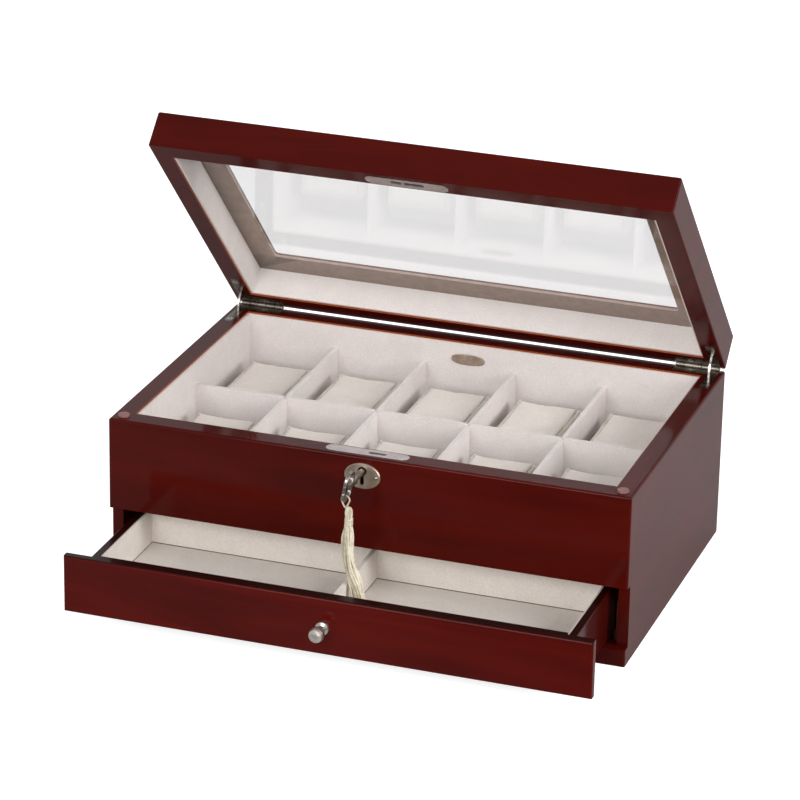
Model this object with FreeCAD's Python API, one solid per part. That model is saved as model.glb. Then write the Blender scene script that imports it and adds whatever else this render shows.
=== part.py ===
import FreeCAD, Part
import math
import os

from FreeCAD import Vector as V

os.makedirs("parts", exist_ok=True)

# Watch box with a lined tray for ten watches and a drawer below it.
# Millimetres. X runs along the front, Y from the front face to the back, Z up from the surface it stands on.
# The origin is the middle of the footprint, so every Y below is shifted by half the depth at the end.

# Case
case_w = 356.0
case_d = 231.5
case_h = 118.0
wall_side = 13.7
wall_front = 14.3
wall_back = 13.3
wall_low = 7.5
fascia_z = 54.6
base_rail_h = 11.6
bottom_t = 4.0
deck_t = 4.0
edge_r = 1.6
lid_low_r = 1.0

# Lid
lid_gap = 2.0
lid_h = 25.5
lid_open = 45.5
lid_far = 95.0
frame_t = 3.0
glass_t = 1.8
frame_lap = 6.5
window_side = 32.2
window_end = 36.1
window_r = 3.0

# Linings
lining_t = 1.5
lining_drop = 1.2
floor_t = 1.5
divider_t = 2.8
divider_below = 16.5
cross_below = 17.5
compartments = 5

# Watch pillows
pillow_w = 50.0
pillow_d = 64.0
pillow_h = 31.0
pillow_r = 4.5
pillow_gap = 0.3

# Drawer
drawer_out = 75.8
front_t = 6.0
front_gap_low = 0.4
front_h = 39.2
front_tongue_t = 4.0
side_t = 5.0
drawer_side_gap = 0.6
drawer_len = 205.0
side_below_front = 3.3
drawer_lift = 1.3
drawer_bottom_t = 3.0
drawer_floor_up = 10.5
drawer_lining_t = 1.5
partition_at = 101.0
partition_t = 3.0
partition_below = 7.2
runner_w = 6.2
runner_ledge = 14.0
runner_start = 12.0
runner_guide = 20.0

# Knob
knob_x = 0.5
knob_up = 19.2
knob_r = 5.0
knob_reach = 16.3

# Hinges with their stays
axis_back = 0.3
hinge_inset = 3.8
hinge_len = 31.2
knuckles = 5
knuckle_r = 1.9
knuckle_gap = 0.4
pin_r = 0.9
pin_fit = 0.05
leaf_t = 1.4
leaf_front = 9.5
arm_inset = 3.6
arm_w = 6.2
arm_len = 35.5
stay_inset = 7.4
stay_w = 1.3
stay_r = 16.0
stay_half = 1.1
stay_lug = 0.8
stay_span = 62.0
stay_play = 0.4

# Screws
screw_head_r = 2.1
screw_head_t = 1.3
screw_r = 1.0
screw_l = 9.0
recess_w = 0.7
recess_l = 2.8
recess_t = 0.7

# Lock, key and tassel
lock_x = -0.9
plate_l = 56.6
plate_w = 9.6
plate_t = 1.2
plate_y = 8.8
plate_screw = 24.0
case_lock_w = 41.0
case_lock_t = 8.2
case_lock_h = 30.0
lock_wall = 0.9
bolt_x = 6.6
bolt_w = 6.4
bolt_t = 2.4
bolt_lift = 6.0
slot_w = 3.2
key_below = 9.2
keyhole_drop = 9.6
key_turned = 10.0
shank_r = 2.1
shank_fit = 0.05
shank_in_bow = 2.0
collar_r = 2.9
collar_l = 2.2
bow_y = 27.8
bow_half_z = 10.4
bow_half_y = 7.6
bow_bar = 2.6
lobe_half = 5.9
bow_t = 2.5
hole_r = 3.1
plate_below = 12.9
oval_a = 12.2
oval_b = 8.8
oval_t = 1.5
pin_span = 9.2
plate_pin_r = 0.6
pin_wall = 0.5
cord_r = 0.55
cord_gap = 0.4
cord_room = 0.9
cord_hang = 5.45
head_len = 12.6
head_gap = 0.3

# Small trim
bumper_r = 3.9
bumper_t = 1.5
bumper_in = 7.9
badge_a = 12.0
badge_b = 3.9
badge_t = 0.8
badge_below = 12.3

# Derived planes
half_w = case_w / 2.0
half_d = case_d / 2.0
in_x = half_w - wall_side
in_front = wall_front
in_back = case_d - wall_back
low_x = half_w - wall_low
set_back = front_t + 0.3
hinge_out = half_w - hinge_inset
hinge_in = hinge_out - hinge_len
arm_out = half_w - arm_inset
arm_in = arm_out - arm_w
stay_x = half_w - stay_inset
divider_top = case_h - divider_below
cross_top = case_h - cross_below
case_lock_low = case_h - case_lock_h
key_z = case_h - key_below
keyhole_low = key_z - keyhole_drop
plate_z = case_h - plate_below
badge_z = case_h - badge_below
deck_top = fascia_z + deck_t
floor_top = deck_top + floor_t
axis_y = case_d - axis_back
axis_z = case_h + lid_gap / 2.0
lid_z = case_h + lid_gap
lid_top = lid_z + lid_h
lined_x = in_x - lining_t
lined_front = in_front + lining_t
lined_back = in_back - lining_t
pitch = 2.0 * lined_x / compartments
mid_y = (lined_front + lined_back) / 2.0
front_z0 = base_rail_h + front_gap_low
front_z1 = front_z0 + front_h
drawer_x = low_x - runner_w - drawer_side_gap
drawer_in_x = drawer_x - side_t
drawer_z0 = base_rail_h + drawer_lift
drawer_top = front_z1 - side_below_front
drawer_floor = front_z0 + drawer_floor_up
drawer_y0 = -drawer_out


def box(x0, x1, y0, y1, z0, z1):
    return Part.makeBox(x1 - x0, y1 - y0, z1 - z0, V(x0, y0, z0))


def rod(r, length, at, way):
    return Part.makeCylinder(r, length, at, way)


def plate_yz(points, x0, x1):
    """An outline in the YZ plane, drawn out along X."""
    wire = Part.makePolygon([V(x0, y, z) for y, z in points + points[:1]])
    return Part.Face(wire).extrude(V(x1 - x0, 0, 0))


def soften(shape, r, *tests):
    """Round the straight edges for which both ends pass one of the tests."""
    edges = []
    for e in shape.Edges:
        ends = [v.Point for v in e.Vertexes]
        if any(all(test(p) for p in ends) for test in tests):
            edges.append(e)
    return shape.makeFillet(r, edges) if edges else shape


def near(a, b):
    return abs(a - b) < 1e-4


def stadium(length, width, z0, z1, cx, cy):
    r = width / 2.0
    body = box(cx - length / 2.0 + r, cx + length / 2.0 - r, cy - r, cy + r, z0, z1)
    for s in (-1, 1):
        body = body.fuse(rod(r, z1 - z0, V(cx + s * (length / 2.0 - r), cy, z0), V(0, 0, 1)))
    return body.removeSplitter()


def oval(a, b, y0, y1, cx, cz):
    """An upright oval prism along Y, wider than it is high."""
    major = Part.Ellipse(V(cx + a, y0, cz), V(cx, y0, cz + b), V(cx, y0, cz))
    return Part.Face(Part.Wire(major.toShape())).extrude(V(0, y1 - y0, 0))


def screw(at, way):
    """A countersunk wood screw: at is the middle of its head's top."""
    way = V(way)
    way.normalize()
    head = Part.makeCone(screw_head_r, screw_r, screw_head_t, at, way)
    shank = rod(screw_r, screw_l - screw_head_t, at + way * screw_head_t, way)
    half_l = recess_l / 2.0
    half_s = recess_w / 2.0
    recess = box(-half_l, half_l, -half_s, half_s, 0.0, recess_t)
    recess = recess.fuse(box(-half_s, half_s, -half_l, half_l, 0.0, recess_t))
    recess.Placement = FreeCAD.Placement(at, FreeCAD.Rotation(V(0, 0, 1), way))
    return head.fuse(shank).cut(recess)


def sector(r0, r1, x0, x1, a0, a1):
    """A flat ring sector about the hinge axis. Angles rise from the forward direction."""
    disc = rod(r1, x1 - x0, V(x0, axis_y, axis_z), V(1, 0, 0))
    disc = disc.cut(rod(r0, x1 - x0, V(x0, axis_y, axis_z), V(1, 0, 0)))
    far = r1 * 3.0
    steps = 12
    pts = [(axis_y, axis_z)]
    for i in range(steps + 1):
        a = math.radians(a0 + (a1 - a0) * i / steps)
        pts.append((axis_y - far * math.cos(a), axis_z + far * math.sin(a)))
    return disc.common(plate_yz(pts, x0, x1))


def opened(shape, angle=lid_open):
    """Turn a piece that is drawn closed about the hinge axis, front edge rising."""
    s = shape.copy()
    s.rotate(V(0, axis_y, axis_z), V(1, 0, 0), -angle)
    return s


def mirrored(shape):
    return shape.mirror(V(0, 0, 0), V(1, 0, 0))


parts = {}

# Screws, the same ones in the case and in the lid
arm_tip = axis_y - arm_len
hinge_mid = (hinge_in + in_x) / 2.0 + 1.0
arm_mid = (arm_in + arm_out) / 2.0
leaf_mid = axis_y - knuckle_r - (leaf_front - knuckle_r) / 2.0
screw_spots = []
for s in (-1, 1):
    screw_spots.append((s * hinge_mid, leaf_mid))
    screw_spots.append((s * arm_mid, arm_tip + 5.0))
    screw_spots.append((lock_x + s * plate_screw, plate_y))
case_screws = Part.makeCompound([screw(V(x, y, case_h), V(0, 0, -1)) for x, y in screw_spots])
lid_screws = Part.makeCompound([screw(V(x, y, lid_z), V(0, 0, 1)) for x, y in screw_spots])

# Spaces that the hinges need in the wood
barrel_space = rod(knuckle_r + 0.3, hinge_out - hinge_in + 1.0, V(hinge_in - 0.5, axis_y, axis_z), V(1, 0, 0))
knuckle_w = (hinge_out - hinge_in) / knuckles
far_y = case_d + 10.0


def leaf_outline(z0, z1):
    """The L-shaped hinge leaf: an arm along the back and one along the side."""
    back = box(hinge_in, arm_out, axis_y - leaf_front, axis_y, z0, z1)
    side = box(arm_in, arm_out, arm_tip + 3.0, axis_y, z0, z1)
    tip = rod(3.0, z1 - z0, V(arm_mid, arm_tip + 3.0, z0), V(0, 0, 1))
    return back.fuse(side).fuse(tip).removeSplitter()


def leaf(z0, z1, mine, screws):
    """One hinge leaf with its knuckles. mine says which knuckles it owns."""
    plate = leaf_outline(z0, z1)
    plate = plate.cut(box(hinge_in - 1, arm_out + 1, axis_y, far_y, z0 - 1, z1 + 1))
    own = []
    for k in range(knuckles):
        x0 = hinge_in + k * knuckle_w
        if k in mine:
            tube = rod(knuckle_r, knuckle_w - knuckle_gap, V(x0 + knuckle_gap / 2, axis_y, axis_z), V(1, 0, 0))
            own.append(tube)
        else:
            plate = plate.cut(rod(knuckle_r + 0.2, knuckle_w, V(x0, axis_y, axis_z), V(1, 0, 0)))
            side = -1 if z0 < axis_z else 1
            zc = axis_z if side > 0 else z0 - 1
            plate = plate.cut(box(x0, x0 + knuckle_w, axis_y - 1.0, far_y, zc, zc + axis_z - z0 + 1
                                  if side < 0 else z1 + 1))
    for tube in own:
        plate = plate.fuse(tube)
    plate = plate.cut(rod(pin_r + pin_fit, hinge_out - hinge_in + 2, V(hinge_in - 1, axis_y, axis_z), V(1, 0, 0)))
    slot_a = stay_r - stay_half - 0.3
    slot_b = stay_r + stay_half + 0.3
    x0 = stay_x - stay_w / 2.0 - 0.25
    x1 = stay_x + stay_w / 2.0 + 0.25
    plate = plate.cut(box(x0, x1, axis_y - slot_b, axis_y - slot_a, z0 - 1, z1 + 1))
    return plate.cut(screws)


lower_leaf = leaf(case_h - leaf_t, case_h, (0, 2, 4), case_screws)
upper_leaf = leaf(lid_z, lid_z + leaf_t, (1, 3), lid_screws)
leaf_pocket = leaf_outline(case_h - leaf_t, case_h + 1.0)
lid_pocket = leaf_outline(lid_z - 1.0, lid_z + leaf_t)
lug = stay_half + stay_lug + stay_play
mortise_x0 = stay_x - stay_w / 2.0 - 0.3
mortise_x1 = stay_x + stay_w / 2.0 + 0.3
mortise_low = sector(stay_r - lug, stay_r + lug, mortise_x0, mortise_x1, -stay_span - 4.0, 1.0)
mortise_up = sector(stay_r - lug, stay_r + lug, mortise_x0, mortise_x1, -1.0, stay_span + 4.0)
hinge_low_space = leaf_pocket.fuse(barrel_space).fuse(mortise_low)
hinge_up_space = lid_pocket.fuse(barrel_space).fuse(mortise_up)


def side_panel():
    outline = [(wall_front, 0.0), (case_d, 0.0), (case_d, case_h), (wall_front, case_h),
               (wall_front, fascia_z), (set_back, fascia_z), (set_back, base_rail_h), (wall_front, base_rail_h)]
    body = plate_yz(outline, in_x, half_w)
    body = body.cut(box(in_x - 1, low_x, -1, case_d - wall_back, -1, deck_top))
    body = soften(body, edge_r, lambda p: near(p.x, half_w) and near(p.z, case_h),
                  lambda p: near(p.x, half_w) and near(p.y, case_d))
    return body.cut(hinge_low_space).cut(case_screws)


parts["side_panel_right"] = side_panel()
parts["side_panel_left"] = mirrored(parts["side_panel_right"])

back_panel = box(-in_x, in_x, in_back, case_d, 0.0, case_h)
for space in (hinge_low_space, mirrored(hinge_low_space)):
    back_panel = back_panel.cut(space)
parts["back_panel"] = back_panel.cut(case_screws)

# Front fascia with the mortise for the lock
lock_x0 = lock_x - case_lock_w / 2.0
lock_x1 = lock_x + case_lock_w / 2.0
lock_y0 = plate_y - 0.4 - case_lock_t / 2.0 - 0.6
lock_y1 = lock_y0 + case_lock_t
lock_z1 = case_h - plate_t


def keyhole(r, slot_half, low, y0, y1):
    """The keyhole's round and its slot, as a cutting tool along Y."""
    tool = rod(r, y1 - y0, V(lock_x, y0, key_z), V(0, 1, 0))
    tool = tool.fuse(box(lock_x - slot_half, lock_x + slot_half, y0, y1, low + slot_half, key_z))
    return tool.fuse(rod(slot_half, y1 - y0, V(lock_x, y0, low + slot_half), V(0, 1, 0)))


fascia = box(-half_w, half_w, 0, wall_front, fascia_z, case_h)
fascia = soften(fascia, edge_r, lambda p: near(p.y, 0) and near(p.x, half_w),
                lambda p: near(p.y, 0) and near(p.x, -half_w), lambda p: near(p.y, 0) and near(p.z, case_h),
                lambda p: near(p.x, half_w) and near(p.z, case_h),
                lambda p: near(p.x, -half_w) and near(p.z, case_h))
fascia = fascia.cut(stadium(plate_l, plate_w, case_h - plate_t, case_h + 1, lock_x, plate_y))
fascia = fascia.cut(box(lock_x0, lock_x1, lock_y0, lock_y1, case_lock_low, case_h))
fascia = fascia.cut(keyhole(hole_r, 1.3, keyhole_low, -1, lock_y0))
for s in (-1, 1):
    fascia = fascia.cut(rod(plate_pin_r, lock_y0 - pin_wall, V(lock_x + s * pin_span, 0, plate_z), V(0, 1, 0)))
parts["front_fascia"] = fascia.cut(case_screws)

base_rail = box(-half_w, half_w, 0, wall_front, 0.0, base_rail_h)
base_rail = soften(base_rail, edge_r * 0.8, lambda p: near(p.y, 0) and near(p.x, half_w),
                   lambda p: near(p.y, 0) and near(p.x, -half_w),
                   lambda p: near(p.y, 0) and near(p.z, base_rail_h))
parts["base_rail"] = base_rail

parts["bottom_board"] = box(-low_x, low_x, wall_front, in_back, 0.0, bottom_t)
parts["deck_board"] = box(-low_x, low_x, wall_front, in_back, fascia_z, deck_top)

# Runners that carry and guide the drawer
runner_y0 = wall_front + runner_start
runner_y1 = in_back
runner_top = drawer_z0 - 0.3
guide_top = drawer_z0 + runner_guide
runner = box(low_x - runner_w, low_x, runner_y0, runner_y1, bottom_t, guide_top)
ledge = box(low_x - runner_w - runner_ledge, low_x, runner_y0, runner_y1, bottom_t, runner_top)
parts["drawer_runner_right"] = runner.fuse(ledge).removeSplitter()
parts["drawer_runner_left"] = mirrored(parts["drawer_runner_right"])

# Lining of the tray
parts["tray_floor_lining"] = box(-in_x, in_x, in_front, in_back, deck_top, floor_top)
ring = box(-in_x, in_x, in_front, in_back, floor_top, case_h - lining_drop)
ring = ring.cut(box(-lined_x, lined_x, lined_front, lined_back, floor_top - 1, case_h))
parts["tray_wall_lining"] = ring

# Dividers, halved over each other
lap_z = (floor_top + divider_top) / 2.0
long_divider = box(-lined_x, lined_x, mid_y - divider_t / 2, mid_y + divider_t / 2, floor_top, divider_top)
cross = []
for k in range(1, compartments):
    x = -lined_x + k * pitch
    long_divider = long_divider.cut(box(x - divider_t / 2, x + divider_t / 2, 0, case_d, lap_z, case_h))
    one = box(x - divider_t / 2, x + divider_t / 2, lined_front, lined_back, floor_top, cross_top)
    cross.append(one.cut(box(-half_w, half_w, mid_y - divider_t / 2, mid_y + divider_t / 2, 0, lap_z)))
parts["long_divider"] = long_divider
parts["cross_dividers"] = Part.makeCompound(cross)

# Watch pillows, numbered from the back left
row_mid = [(mid_y + divider_t / 2 + lined_back) / 2.0 + 1.0, (lined_front + mid_y - divider_t / 2) / 2.0 + 1.0]
for n in range(2 * compartments):
    x = -lined_x + (n % compartments + 0.5) * pitch
    y = row_mid[n // compartments]
    z = floor_top + pillow_gap
    p = box(x - pillow_w / 2, x + pillow_w / 2, y - pillow_d / 2, y + pillow_d / 2, z, z + pillow_h)
    parts["pillow_%02d" % (n + 1)] = p.makeFillet(pillow_r, p.Edges)

# Lock in the fascia
lock_case = box(lock_x0, lock_x1, lock_y0, lock_y1, case_lock_low, lock_z1)
lock_case = lock_case.cut(box(lock_x0 + lock_wall, lock_x1 - lock_wall, lock_y0 + lock_wall,
                              lock_y1 - lock_wall, case_lock_low + lock_wall, lock_z1 + 1))
lock_case = lock_case.cut(keyhole(shank_r + shank_fit, 1.3, keyhole_low, lock_y0 - 1, lock_y0 + lock_wall + 0.1))
tip_socket = rod(2.4, 1.2, V(lock_x, lock_y1 - lock_wall - 1.2, key_z), V(0, 1, 0))
tip_socket = tip_socket.cut(rod(1.25, 1.2, V(lock_x, lock_y1 - lock_wall - 1.2, key_z), V(0, 1, 0)))
parts["lock_case"] = lock_case.fuse(tip_socket)
slot_x0 = lock_x + bolt_x - bolt_w / 2 - 2.9
slot_x1 = lock_x + bolt_x + bolt_w / 2 + 3.2
face = stadium(plate_l, plate_w, lock_z1, case_h, lock_x, plate_y)
slot_tool = stadium(slot_x1 - slot_x0, slot_w, lock_z1 - 1, case_h + 1, (slot_x0 + slot_x1) / 2, plate_y)
parts["lock_face_plate"] = face.cut(slot_tool).cut(case_screws)
bolt_x0 = lock_x + bolt_x - bolt_w / 2
bolt_y0 = plate_y - bolt_t / 2
bolt_z0 = case_lock_low + lock_wall + 1.0
bolt = box(bolt_x0, bolt_x0 + bolt_w, bolt_y0, bolt_y0 + bolt_t, bolt_z0, case_h - 1.0)
hook = box(bolt_x0 - 0.01, bolt_x0 + 2.4, bolt_y0 - 1, bolt_y0 + bolt_t + 1, case_h - 4.6, case_h - 2.8)
parts["lock_bolt"] = bolt.cut(hook)

# Oval plate round the keyhole and its pins
escutcheon = oval(oval_a, oval_b, -oval_t, 0, lock_x, plate_z)
rim_edges = [e for e in escutcheon.Edges if all(near(v.Point.y, -oval_t) for v in e.Vertexes)]
escutcheon = escutcheon.makeChamfer(0.5, rim_edges[:1])
escutcheon = escutcheon.cut(keyhole(hole_r, 1.3, keyhole_low, -oval_t - 1, 1))
pins = []
for s in (-1, 1):
    x = lock_x + s * pin_span
    ball = Part.makeSphere(1.5, V(x, -oval_t + 0.6, plate_z))
    dome = ball.common(box(x - 2, x + 2, -oval_t - 2, -oval_t, plate_z - 2, plate_z + 2))
    pins.append(dome.fuse(rod(plate_pin_r, oval_t + lock_y0 - pin_wall, V(x, -oval_t, plate_z), V(0, 1, 0))))
for one in pins:
    escutcheon = escutcheon.cut(one)
parts["escutcheon"] = escutcheon
parts["escutcheon_pins"] = Part.makeCompound(pins)

# Key, drawn upright and then turned
bit_y0 = lock_y0 + lock_wall + 0.3
bit_y1 = bolt_y0 - 0.4
lobe_z = bow_half_z - lobe_half
dent_y = bow_y - bow_half_y * math.sqrt(1.0 - (lobe_z / lobe_half) ** 2)
shank_out = dent_y + shank_in_bow
key = rod(shank_r, bit_y1 + shank_out, V(lock_x, -shank_out, key_z), V(0, 1, 0))
key = key.fuse(rod(1.2, lock_y1 - lock_wall - 0.2 - bit_y1, V(lock_x, bit_y1, key_z), V(0, 1, 0)))
key = key.fuse(box(lock_x - 1.0, lock_x + 1.0, bit_y0, bit_y1, key_z - 8.3, key_z))
key = key.fuse(rod(collar_r, collar_l, V(lock_x, bow_half_y - bow_y, key_z), V(0, 1, 0)))
ring_x = lock_x - bow_t / 2


def ring_oval(cy, cz, half_y, half_z):
    """A flat oval in the plane of the bow."""
    if half_z > half_y:
        edge = Part.Ellipse(V(ring_x, cy, cz + half_z), V(ring_x, cy + half_y, cz), V(ring_x, cy, cz))
    else:
        edge = Part.Ellipse(V(ring_x, cy + half_y, cz), V(ring_x, cy, cz + half_z), V(ring_x, cy, cz))
    return Part.Face(Part.Wire(edge.toShape())).extrude(V(bow_t, 0, 0))


# The bow is heart shaped: two lobes above each other, with a fuller front and a dent where the shank meets it
bow = ring_oval(-bow_y, key_z, bow_half_y, bow_half_z - 1.2)
bow = bow.common(box(ring_x - 1, ring_x + bow_t + 1, -bow_y - 20, -bow_y, key_z - 20, key_z + 20))
hollow = ring_oval(-bow_y, key_z, bow_half_y - bow_bar, bow_half_z - 1.2 - bow_bar)
hollow = hollow.common(box(ring_x - 1, ring_x + bow_t + 1, -bow_y - 20, -bow_y, key_z - 20, key_z + 20))
for s in (-1, 1):
    bow = bow.fuse(ring_oval(-bow_y, key_z + s * lobe_z, bow_half_y, lobe_half))
    hollow = hollow.fuse(ring_oval(-bow_y, key_z + s * lobe_z, bow_half_y - bow_bar, lobe_half - bow_bar))
bow = bow.removeSplitter().cut(hollow.removeSplitter()).removeSplitter()
bow = bow.makeFillet(0.6, [e for e in bow.Edges if near(e.BoundBox.XLength, 0)])
key = key.fuse(bow).removeSplitter()
key.rotate(V(lock_x, 0, key_z), V(0, 1, 0), key_turned)
parts["key"] = key

# Tassel on the key's bow
turned = math.radians(key_turned)
bar_drop = bow_half_z - bow_bar / 2
bar_x = lock_x - bar_drop * math.sin(turned)
bar_z = key_z - bar_drop * math.cos(turned)
loop_y = -bow_y
loop_r = bow_t / 2 + cord_r + cord_room
loop_top = bar_z + bow_bar / 2 + cord_r + cord_gap
loop_c = loop_top - loop_r
tie_z = loop_c - cord_hang
half = math.sqrt(0.5) * loop_r
loop_pts = [(0.0, loop_top), (half, loop_c + half), (loop_r, loop_c), (loop_r * 0.72, loop_c - 2.4),
            (0.45, tie_z + 0.3), (0.0, tie_z), (-0.45, tie_z + 0.3), (-loop_r * 0.72, loop_c - 2.4),
            (-loop_r, loop_c), (-half, loop_c + half)]
curve = Part.BSplineCurve()
curve.interpolate([V(bar_x + x, loop_y, z) for x, z in loop_pts], PeriodicFlag=True)
start = Part.Circle(V(bar_x, loop_y, loop_top), V(1, 0, 0), cord_r)
loop = Part.Wire(curve.toShape()).makePipeShell([Part.Wire(start.toShape())], True, False)
parts["tassel_cord"] = loop

head_x = lock_x + 1.2
head_y = loop_y - 1.3
head_top = tie_z + 0.9
profile = [(0.0, 0.0), (1.4, -0.5), (2.2, -1.8), (2.45, -3.6), (2.4, -5.6), (2.1, -7.0), (2.2, -8.0),
           (2.6, -9.0), (2.7, 0.4 - head_len), (2.3, -head_len), (0.0, -head_len)]
pts = [V(head_x + r, head_y, head_top + z) for r, z in profile]
head = Part.Face(Part.makePolygon(pts + pts[:1])).revolve(V(head_x, head_y, 0), V(0, 0, 1), 360)
parts["tassel_head"] = head.cut(parts["tassel_cord"])

# The skirt falls into the open drawer on the right of its middle divider. Each section gives how far down
# it is, as a share of the hanging length and past 1.0 as a share of the drawer's depth, then its place and size
skirt_top = head_top - head_len - head_gap
hanging = skirt_top - drawer_top
inside = drawer_top - drawer_floor
sections = [(0.0, 0.0, 0.0, 2.7, 2.7), (0.135, -0.2, -0.3, 4.0, 3.2), (0.264, -0.3, -0.6, 4.4, 3.3),
            (0.602, 0.3, -1.4, 4.2, 3.3), (0.793, 1.7, -2.2, 4.4, 3.2), (0.969, 4.6, -3.4, 4.7, 3.0),
            (1.156, 7.2, -4.7, 4.9, 2.8), (1.53, 9.3, -6.4, 5.8, 2.6), (1.904, 10.6, -7.9, 6.3, 2.5)]
rings = []
for share, dx, dy, a, b in sections:
    down = hanging * min(share, 1.0) + inside * max(share - 1.0, 0.0)
    c = V(head_x + dx, head_y + dy, skirt_top - down)
    rings.append(Part.Wire(Part.Ellipse(c + V(a, 0, 0), c + V(0, b, 0), c).toShape() if a > b
                           else Part.Circle(c, V(0, 0, 1), a).toShape()))
parts["tassel_skirt"] = Part.makeLoft(rings, True)

# Bumpers and bare badge
discs = []
for s in (-1, 1):
    d = rod(bumper_r, bumper_t, V(s * (half_w - bumper_in), bumper_in, case_h), V(0, 0, 1))
    discs.append(d.makeFillet(0.5, [e for e in d.Edges if near(e.BoundBox.ZMin, case_h + bumper_t)]))
parts["bumper_discs"] = Part.makeCompound(discs)
parts["badge_plate"] = oval(badge_a, badge_b, lined_back - badge_t, lined_back, lock_x, badge_z)

# Hinges
parts["hinge_lower_right"] = lower_leaf
parts["hinge_lower_left"] = mirrored(lower_leaf)
parts["hinge_upper_right"] = opened(upper_leaf)
parts["hinge_upper_left"] = opened(mirrored(upper_leaf))
pin_len = hinge_out - hinge_in - 0.6
hinge_pin = rod(pin_r, pin_len, V(hinge_in + 0.3, axis_y, axis_z), V(1, 0, 0))
parts["hinge_pins"] = Part.makeCompound([hinge_pin, mirrored(hinge_pin)])
stay = sector(stay_r - stay_half, stay_r + stay_half, stay_x - stay_w / 2, stay_x + stay_w / 2,
              -stay_span, stay_span)
for a0, a1 in ((-stay_span, 4.0 - stay_span), (stay_span - 4.0, stay_span)):
    stay = stay.fuse(sector(stay_r - stay_half - stay_lug, stay_r + stay_half + stay_lug,
                            stay_x - stay_w / 2, stay_x + stay_w / 2, a0, a1))
parts["hinge_stay_right"] = opened(stay, lid_open / 2)
parts["hinge_stay_left"] = opened(mirrored(stay), lid_open / 2)
parts["case_screws"] = case_screws
parts["lid_screws"] = opened(lid_screws)

# Lid
frame_space = box(-in_x - frame_lap, in_x + frame_lap, in_front - frame_lap, in_back + frame_lap,
                  lid_top - frame_t, lid_top + 1)
rail_front = box(-half_w, half_w, 0, wall_front, lid_z, lid_top)
rail_front = soften(rail_front, edge_r, lambda p: near(p.y, 0) and near(p.x, half_w),
                    lambda p: near(p.y, 0) and near(p.x, -half_w), lambda p: near(p.y, 0) and near(p.z, lid_top),
                    lambda p: near(p.x, half_w) and near(p.z, lid_top),
                    lambda p: near(p.x, -half_w) and near(p.z, lid_top))
for s in (-1, 1):
    low_edge = box(half_w - lid_low_r, half_w + 1, -1, case_d + 1, lid_z - 1, lid_z + lid_low_r)
    low_edge = low_edge.cut(rod(lid_low_r, case_d + 2, V(half_w - lid_low_r, -1, lid_z + lid_low_r), V(0, 1, 0)))
    rail_front = rail_front.cut(low_edge if s > 0 else mirrored(low_edge))
strike_tool = stadium(plate_l, plate_w, lid_z - 1, lid_z + plate_t, lock_x, plate_y)
catch_x = (lock_x + 5.05, 13.3)
catch_small_x = (lock_x - 7.35, 7.5)
rail_front = rail_front.cut(frame_space).cut(strike_tool).cut(lid_screws)
for cx, length in (catch_x, catch_small_x):
    rail_front = rail_front.cut(stadium(length, slot_w + 1.0, lid_z, lid_z + 9.0, cx, plate_y))
parts["lid_rail_front"] = opened(rail_front)
rail_side = box(in_x, half_w, wall_front, case_d, lid_z, lid_top)
rail_side = soften(rail_side, edge_r, lambda p: near(p.x, half_w) and near(p.z, lid_top),
                   lambda p: near(p.x, half_w) and near(p.y, case_d))
rail_side = rail_side.cut(low_edge).cut(frame_space).cut(hinge_up_space).cut(lid_screws)
parts["lid_rail_right"] = opened(rail_side)
parts["lid_rail_left"] = opened(mirrored(rail_side))
rail_back = box(-in_x, in_x, in_back, case_d, lid_z, lid_top).cut(frame_space)
for space in (hinge_up_space, mirrored(hinge_up_space)):
    rail_back = rail_back.cut(space)
parts["lid_rail_back"] = opened(rail_back.cut(lid_screws))
frame = box(-in_x - frame_lap, in_x + frame_lap, in_front - frame_lap, in_back + frame_lap,
            lid_top - frame_t, lid_top)
window = box(-half_w + window_side, half_w - window_side, window_end, case_d - window_end,
             lid_top - frame_t - 1, lid_top + 1)
window = window.makeFillet(window_r, [e for e in window.Edges if near(e.BoundBox.XLength, 0)
                                      and near(e.BoundBox.YLength, 0)])
parts["lid_top_frame"] = opened(frame.cut(window))
glass_z = lid_top - frame_t - glass_t
parts["lid_glass"] = opened(box(-in_x + 0.1, in_x - 0.1, in_front + 0.1, in_back - 0.1, glass_z, glass_z + glass_t))
lid_lining = box(-in_x, in_x, in_front, in_back, lid_z + lining_drop, glass_z)
lid_lining = lid_lining.cut(box(-lined_x, lined_x, lined_front, lined_back, lid_z, glass_z + 1))
parts["lid_lining"] = opened(lid_lining)
strike = stadium(plate_l, plate_w, lid_z, lid_z + plate_t, lock_x, plate_y)
for cx, length in (catch_x, catch_small_x):
    strike = strike.cut(stadium(length, slot_w, lid_z - 1, lid_z + plate_t + 1, cx, plate_y))
parts["strike_plate"] = opened(strike.cut(lid_screws))

# Drawer, drawn where it stands open
front = box(-half_w, half_w, drawer_y0, drawer_y0 + front_t, front_z0, front_z1)
front = front.makeFillet(edge_r, [e for e in front.Edges if all(near(v.Point.y, drawer_y0) for v in e.Vertexes)])
tongue = box(-drawer_in_x, drawer_in_x, drawer_y0 + front_t, drawer_y0 + front_t + front_tongue_t,
             drawer_floor - drawer_lining_t - drawer_bottom_t, front_z1 - 0.6)
knob_z = front_z0 + knob_up
stud = rod(2.0, front_t + front_tongue_t - 2.0, V(knob_x, drawer_y0, knob_z), V(0, 1, 0))
parts["drawer_front"] = front.fuse(tongue).removeSplitter().cut(stud)
box_y0 = drawer_y0 + front_t
box_y1 = drawer_y0 + drawer_len
wood_floor = drawer_floor - drawer_lining_t
d_side = box(drawer_in_x, drawer_x, box_y0, box_y1, drawer_z0, drawer_top)
d_side = soften(d_side, 0.8, lambda p: near(p.x, drawer_x) and near(p.z, drawer_top))
parts["drawer_side_right"] = d_side
parts["drawer_side_left"] = mirrored(d_side)
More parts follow.
